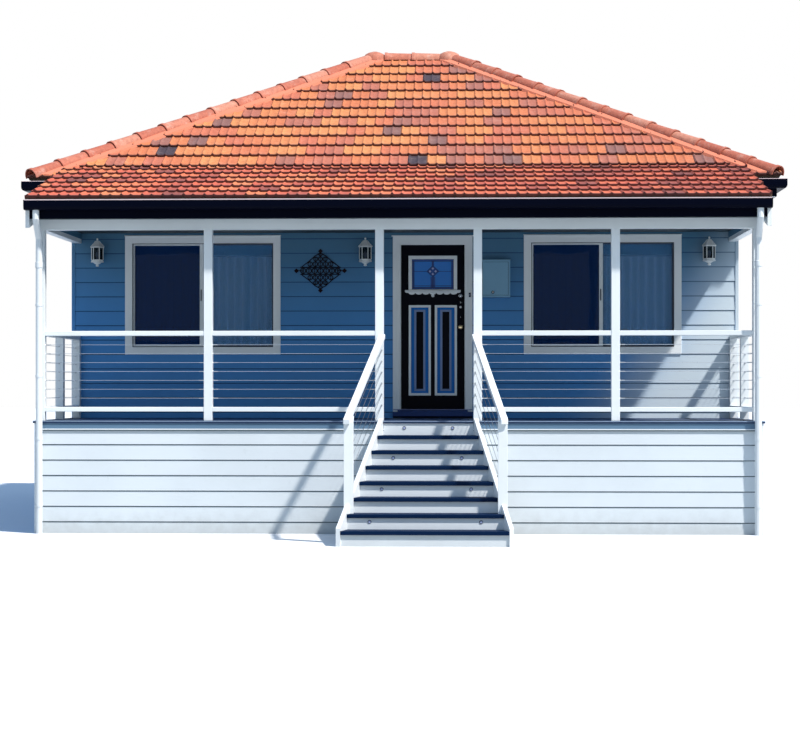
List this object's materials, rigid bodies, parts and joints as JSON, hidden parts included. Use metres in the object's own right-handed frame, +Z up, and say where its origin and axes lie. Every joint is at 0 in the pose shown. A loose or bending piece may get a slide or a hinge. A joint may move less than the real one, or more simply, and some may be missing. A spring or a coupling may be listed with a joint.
{
  "type": "beach house",
  "caption": "Single-storey weatherboard beach house on a low base, with a hipped tile roof, a front verandah, a splayed stair and a wire railing.",
  "frame": {"origin": "on the ground, under the middle of the whole house with its stair", "axes": "+X to the right seen from the front, -Y out of the front door, +Z up"},
  "size_m": [9.18, 11.503, 6.3376],
  "materials": {
    "wall_paint": "pale powder-blue house paint, satin",
    "trim_paint": "white gloss paint",
    "deck_paint": "dark navy paint on boards",
    "step_paint": "blue-grey paving paint",
    "floor_boards": "oiled boards",
    "ceiling_paint": "flat white",
    "roof_tile": "weathered terracotta",
    "cap_tile": "salmon terracotta",
    "gutter_paint": "very dark navy, satin",
    "pipe_paint": "white",
    "wire_steel": "stainless wire",
    "window_metal": "white powder coat",
    "window_glass": "clear",
    "curtain_cloth": "sheer, pleated",
    "door_paint": "near-black navy, satin",
    "light_glass": "blue leadlight",
    "knob_brass": "polished",
    "lantern_paint": "white",
    "iron": "dark brown",
    "cabinet_paint": "pale grey"
  },
  "bodies": {
    "house": {"base_front_wall": "wall_paint", "base_left_wall": "wall_paint", "base_right_wall": "wall_paint", "base_back_wall": "wall_paint", "house_floor": "floor_boards", "verandah_deck": "deck_paint", "front_wall_left": "wall_paint", "front_wall_right": "wall_paint", "front_wall_over_door": "wall_paint", "left_wall": "wall_paint", "right_wall": "wall_paint", "back_wall": "wall_paint", "ceiling": "ceiling_paint", "main_roof": "roof_tile", "hip_and_ridge_caps": "cap_tile", "verandah_roof": "roof_tile", "barge_boards": "trim_paint", "verandah_side_panels": "wall_paint", "eaves_soffit": "trim_paint", "fascia": "gutter_paint", "front_fascia": "gutter_paint", "main_gutter": "gutter_paint", "front_gutter": "gutter_paint", "downpipes": "pipe_paint", "front_beam": "trim_paint", "side_beams": "trim_paint", "verandah_lining": "trim_paint", "posts": "trim_paint", "rails": "trim_paint", "front_wires": "wire_steel", "side_wires": "wire_steel", "stair_treads": "step_paint", "stair_risers": "wall_paint", "stringers": "trim_paint", "newels": "trim_paint", "handrails": "trim_paint", "stair_wires_set": "wire_steel", "step_lights": "wire_steel", "window_frames": "window_metal", "window_casings": "trim_paint", "window_sashes": "window_metal", "window_glass": "window_glass", "curtains": "curtain_cloth", "door_frame": "trim_paint", "door_casing": "trim_paint", "door_sill": "step_paint", "door_hinges": "wire_steel", "lanterns": "lantern_paint", "wall_ornament": "iron", "meter_box": "cabinet_paint"},
    "door": {"front_door": "door_paint", "door_mouldings": "trim_paint", "door_glass": "light_glass", "door_knobs": "knob_brass"},
    "meter_door": {"meter_box_door": "cabinet_paint"}
  },
  "joints": [
    {"name": "door_hinge", "type": "hinge", "parent": "house", "child": "door", "pos_m": [-0.037, -1.7325, 2.4], "axis": [0, 0, 1], "range_deg": [0, 90]},
    {"name": "meter_door_hinge", "type": "hinge", "parent": "house", "child": "meter_door", "pos_m": [0.94, -1.9865, 2.959], "axis": [0, 0, -1], "range_deg": [0, 100]}
  ]
}
